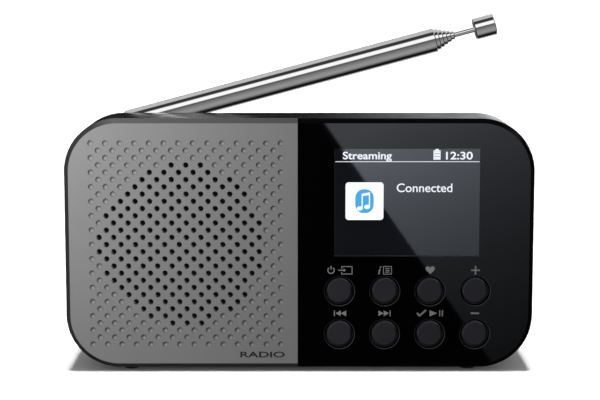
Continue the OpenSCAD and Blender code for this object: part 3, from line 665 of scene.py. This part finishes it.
def draw_picture():
    """Heading, clock, battery and status as lit shapes just in front of the display's glass."""
    y = glass_low.y - 0.06 * MM
    thick = 0.03 * MM
    white = lit("pixels_white", (0.93, 0.96, 1.0), 1.1)
    blue = lit("pixels_blue", (0.075, 0.44, 0.84), 1.0)
    plate = lit("pixels_plate", (0.96, 0.98, 1.0), 1.3)

    def words(name, text, x0, x1, z0, z1, weight):
        lettering(name, text, x0 * MM, x1 * MM, UNDER_Z + z0 * MM, UNDER_Z + z1 * MM, y, thick, white,
                  "case", weight)

    def shape(name, outlines, x, z, shader, lift=0.0):
        flat_piece(name, outlines, x * MM, UNDER_Z + z * MM, y - lift, thick, shader,
                   "case")

    words("picture_heading", "Streaming", 14.3, 30.4, 69.0, 72.3, 0.018)
    words("picture_clock", "12:30", 48.2, 57.0, 69.7, 72.3, 0.018)
    words("picture_status", "Connected", 32.1, 50.4, 58.9, 61.8, 0.006)
    rule = (lens_high.x - lens_low.x) / MM - 0.6
    shape("picture_rule", [box_outline(rule * MM, 0.2 * MM)], SCREEN_X / MM, 69.0, white)
    cells = [box_outline(1.75 * MM, 0.7 * MM, 0, (-0.88 + 0.88 * row) * MM) for row in range(3)]
    shape("picture_battery", frame_outlines(2.3 * MM, 3.1 * MM, 0.25 * MM) + cells
          + [box_outline(1.1 * MM, 0.4 * MM, 0, 1.75 * MM)], 45.25, 71.2, white)
    shape("picture_plate", [round_box(12.5 * MM, 12.5 * MM, 1.0 * MM)], *EMBLEM, plate)
    shape("picture_badge", [round_box(6.1 * MM, 8.0 * MM, 2.8 * MM)], *EMBLEM, blue, 0.04 * MM)
    draw_note(shape, plate)


# ---- studio ----

BACKDROP = 1.05                        # the white that the camera itself sees
AMBIENT = 0.05                         # the brightness that matt surfaces see all round
SIDE_FADE = 0.7, 0.9                   # how far sideways a direction points where the tent fades out
CARD_FRONT = 2.0                       # the front card's distance in front of the case's face
CARD_BACK = 1.5                        # the back card's distance behind the case's middle
CAMERA_X = 0.23 * MM
CAMERA_BACK = 551.4 * MM               # in front of the case's face
CAMERA_Z = 131.8 * MM                  # above the case's underside
CAMERA_PITCH = 7.78                    # degrees below level
LENS_MM = 101.5                        # on a sensor 36 mm wide


def add_camera():
    data = bpy.data.cameras.new("camera")
    data.lens = LENS_MM
    data.sensor_width = 36
    data.clip_start = 0.01
    data.clip_end = 50
    camera = bpy.data.objects.new("camera", data)
    camera.location = (CAMERA_X, FACE_Y - CAMERA_BACK, UNDER_Z + CAMERA_Z)
    camera.rotation_euler = (math.radians(90 - CAMERA_PITCH), 0, 0)
    bpy.context.scene.collection.objects.link(camera)
    bpy.context.scene.camera = camera


def add_world():
    """A light tent as bands of brightness round the X axis: 0 is level to the front, 90 is straight up
    and 180 is level to the back. It fades out toward the sides. Only polished surfaces see the bands.
    Matt ones see an even dim grey, and the camera itself sees plain white."""
    bands = (
        (-180, 0.70), (-135, 0.55), (-122, 0.05), (-115, 0.01), (-82, 0.01), (-72, 0.16), (-50, 0.34),
        (-25, 0.30), (5, 0.14), (15, 0.08), (21, 1.1), (48, 1.1), (57, 0.05), (88, 0.03), (97, 0.58),
        (150, 0.58), (165, 0.1), (180, 0.04),
    )
    world = bpy.data.worlds.new("studio")
    world.use_nodes = True
    bpy.context.scene.world = world
    tree = world.node_tree
    tree.nodes.clear()

    def glow(level):
        made = add_node(tree, "ShaderNodeBackground")
        made.inputs["Color"].default_value = (level, level, level, 1)
        return made.outputs[0]

    def choose(test, no, yes):
        made = add_node(tree, "ShaderNodeMixShader")
        tree.links.new(test, made.inputs[0])
        tree.links.new(no, made.inputs[1])
        tree.links.new(yes, made.inputs[2])
        return made.outputs[0]

    direction = add_node(tree, "ShaderNodeTexCoord").outputs["Generated"]
    to_front = add_node(tree, "ShaderNodeMath", operation="MULTIPLY")
    to_front.inputs[1].default_value = -1
    tree.links.new(split_off(tree, direction, 1), to_front.inputs[0])
    angle = add_node(tree, "ShaderNodeMath", operation="ARCTAN2")
    tree.links.new(split_off(tree, direction, 2), angle.inputs[0])
    tree.links.new(to_front.outputs[0], angle.inputs[1])
    turn = map_range(tree, angle.outputs[0], -math.pi, math.pi, 0, 1)
    ramp = add_node(tree, "ShaderNodeValToRGB")
    stops = ramp.color_ramp.elements
    while len(stops) < len(bands):
        stops.new(0.5)
    for stop, (degrees, value) in zip(stops, bands):
        stop.position = (degrees + 180) / 360
        stop.color = (value, value, value, 1)
    tree.links.new(turn, ramp.inputs[0])
    tent = add_node(tree, "ShaderNodeBackground")
    tree.links.new(ramp.outputs[0], tent.inputs["Color"])
    aside = add_node(tree, "ShaderNodeMath", operation="ABSOLUTE")
    tree.links.new(split_off(tree, direction, 0), aside.inputs[0])
    tree.links.new(map_range(tree, aside.outputs[0], *SIDE_FADE, 1.0, 0.05), tent.inputs["Strength"])
    rays = add_node(tree, "ShaderNodeLightPath")
    seen = choose(rays.outputs["Is Diffuse Ray"], tent.outputs[0], glow(AMBIENT))
    seen = choose(rays.outputs["Is Camera Ray"], seen, glow(BACKDROP))
    tree.links.new(seen, add_node(tree, "ShaderNodeOutputWorld").inputs["Surface"])


def add_softbox(name, place, aim, size, watts):
    data = bpy.data.lights.new(name, "AREA")
    data.shape = "RECTANGLE"
    data.size, data.size_y = size
    data.energy = watts
    light = bpy.data.objects.new(name, data)
    light.location = place
    light.rotation_euler = (Vector(aim) - Vector(place)).to_track_quat("-Z", "Y").to_euler()
    light.visible_camera = False
    light.visible_glossy = False
    bpy.context.scene.collection.objects.link(light)
    return light


def shine_on(lamp, pieces):
    """Lets a lamp or a glowing card light only these pieces."""
    group = bpy.data.collections.new(lamp.name + "_receivers")
    for piece in pieces:
        group.objects.link(piece)
    lamp.light_linking.receiver_collection = group


def stage_quad(name, corners, material):
    mesh = bpy.data.meshes.new(name)
    mesh.from_pydata(corners, [], [(0, 1, 2, 3)])
    mesh.materials.append(material)
    quad = bpy.data.objects.new(name, mesh)
    bpy.context.scene.collection.objects.link(quad)
    return quad


def add_floor():
    """A white floor with its own light from straight above: a tight one and a wide one."""
    reach = 8.0
    s = Shader("floor_white", (0.9, 0.9, 0.9), 0.9)
    s.tone(s.noise(40 * MM, 3), 0.985, 1.0)
    corners = [(x * reach, y * reach, 0) for x, y in ((-1, -1), (1, -1), (1, 1), (-1, 1))]
    floor = stage_quad("floor", corners, s.material)
    floor.visible_glossy = False
    floor.visible_diffuse = False
    floor.visible_transmission = False
    for name, strength, spread in (("overhead", 4.5, 9), ("overcast", 0.95, 178)):
        light = bpy.data.lights.new(name, "SUN")
        light.energy = strength
        light.angle = math.radians(spread)
        lamp = bpy.data.objects.new(name, light)
        bpy.context.scene.collection.objects.link(lamp)
        shine_on(lamp, [floor])


def veil(name, level):
    """A see-through material that adds an even glow."""
    made = bpy.data.materials.new(name)
    made.use_nodes = True
    tree = made.node_tree
    tree.nodes.clear()
    both = add_node(tree, "ShaderNodeAddShader")
    shine = add_node(tree, "ShaderNodeEmission")
    shine.inputs["Strength"].default_value = level
    tree.links.new(add_node(tree, "ShaderNodeBsdfTransparent").outputs[0], both.inputs[0])
    tree.links.new(shine.outputs[0], both.inputs[1])
    tree.links.new(both.outputs[0], add_node(tree, "ShaderNodeOutputMaterial").inputs["Surface"])
    return made


def reflector(name, corners, glow, mast_level):
    """A card that only reflections see. glow(shader) gives its brightness over the card. The antenna
    sees a plain one just in front of it, of the brightness mast_level."""
    masts = [nodes[piece] for piece in nodes if piece not in CASE_NODES]
    s = Shader(name, (0, 0, 0), 1.0, Specular_IOR_Level=0.0)
    s.link(glow(s), s.out.inputs["Emission Color"])
    s.out.inputs["Emission Strength"].default_value = 1.0
    others = [piece for piece in bpy.data.objects if piece.type == "MESH" and piece not in masts]
    nearer = [(x * 0.999, y * 0.999, z * 0.999) for x, y, z in corners]
    for card, pieces in ((stage_quad(name, corners, s.material), others),
                         (stage_quad(name + "_veil", nearer, veil(name + "_veil", mast_level)), masts)):
        card.visible_camera = False
        card.visible_diffuse = False
        card.visible_shadow = False
        shine_on(card, pieces)


def mirrored(x, z):
    """The place on the front card that the camera sees mirrored in the face at x, and z above the
    underside."""
    grow = CARD_FRONT / CAMERA_BACK
    return x + (x - CAMERA_X) * grow, UNDER_Z + z + (z - CAMERA_Z) * grow


def add_front_card():
    """What the window mirrors: black to the left of a slanting line, and a soft glow to its right that
    fades down and to the right."""
    top, low = mirrored(8.2 * MM, 81.5 * MM), mirrored(51.4 * MM, 19.6 * MM)
    lean = (low[0] - top[0]) / (low[1] - top[1])
    scale = 1 + CARD_FRONT / CAMERA_BACK
    origin = mirrored(20 * MM, 79 * MM)

    def glow(s):
        x, z = s.axis(0), s.axis(2)
        right = s.math("SUBTRACT", x, s.math("MULTIPLY_ADD", s.math("SUBTRACT", z, top[1]), lean, top[0]))
        lit_side = s.between(right, 0.0, 3 * MM)
        fade_x = s.math("MULTIPLY", s.math("SUBTRACT", x, origin[0]), 10.0 / scale)
        fade_z = s.math("MULTIPLY", s.math("SUBTRACT", origin[1], z), 24.0 / scale)
        fading = s.math("EXPONENT", s.math("MULTIPLY", s.math("ADD", fade_x, fade_z), -1))
        level = s.math("MINIMUM", s.math("MULTIPLY", fading, lit_side), 1.3)
        return s.mix(level, (0.0, 0.0, 0.0), (0.90, 0.96, 1.08))

    left, bottom = mirrored(-90 * MM, -14 * MM)
    right, high = mirrored(90 * MM, 96 * MM)
    y = FACE_Y - CARD_FRONT
    reflector("front_card", [(left, y, bottom), (right, y, bottom), (right, y, high), (left, y, high)],
              glow, 0.22)


def add_back_card():
    """What the case's top mirrors at a low angle: dark on the left and bright on the right."""
    def glow(s):
        level = s.span(s.axis(0), 0.0, 1.0, 0.0, 0.32)
        return s.mix(s.math("POWER", level, 1.7), (0.02, 0.02, 0.02), (1.0, 1.0, 1.0))

    half, bottom, high = 0.8, -0.3, 0.75
    corners = [(-half, CARD_BACK, bottom), (half, CARD_BACK, bottom), (half, CARD_BACK, high),
               (-half, CARD_BACK, high)]
    reflector("back_card", corners, glow, 0.12)


def add_studio():
    bpy.context.scene.view_settings.view_transform = "Standard"
    add_camera()
    add_world()
    add_floor()
    add_front_card()
    add_back_card()
    # Two lamps behind the object light only its back, and are named as seen from there.
    back = [nodes[name] for name in ("rear_cabinet", "battery_door", "case_screws", "front_cabinet")]
    for name, place in (("rear_left", (0.45, 0.6, 0.5)), ("rear_right", (-0.6, 0.4, 0.35))):
        shine_on(add_softbox(name, place, (0, 0, 0.04), (0.5, 0.5), 9), back)
    # A small lamp close to the front, high on the left, lights everything but the floor.
    key = add_softbox("key", (-0.15, -0.13, 0.14), (-0.03, 0, 0.045), (0.05, 0.05), 0.29)
    shine_on(key, [piece for piece in bpy.data.objects if piece.type == "MESH" and piece.name != "floor"])


dress_frame()
print_symbols()
print_legend()
draw_picture()
add_studio()
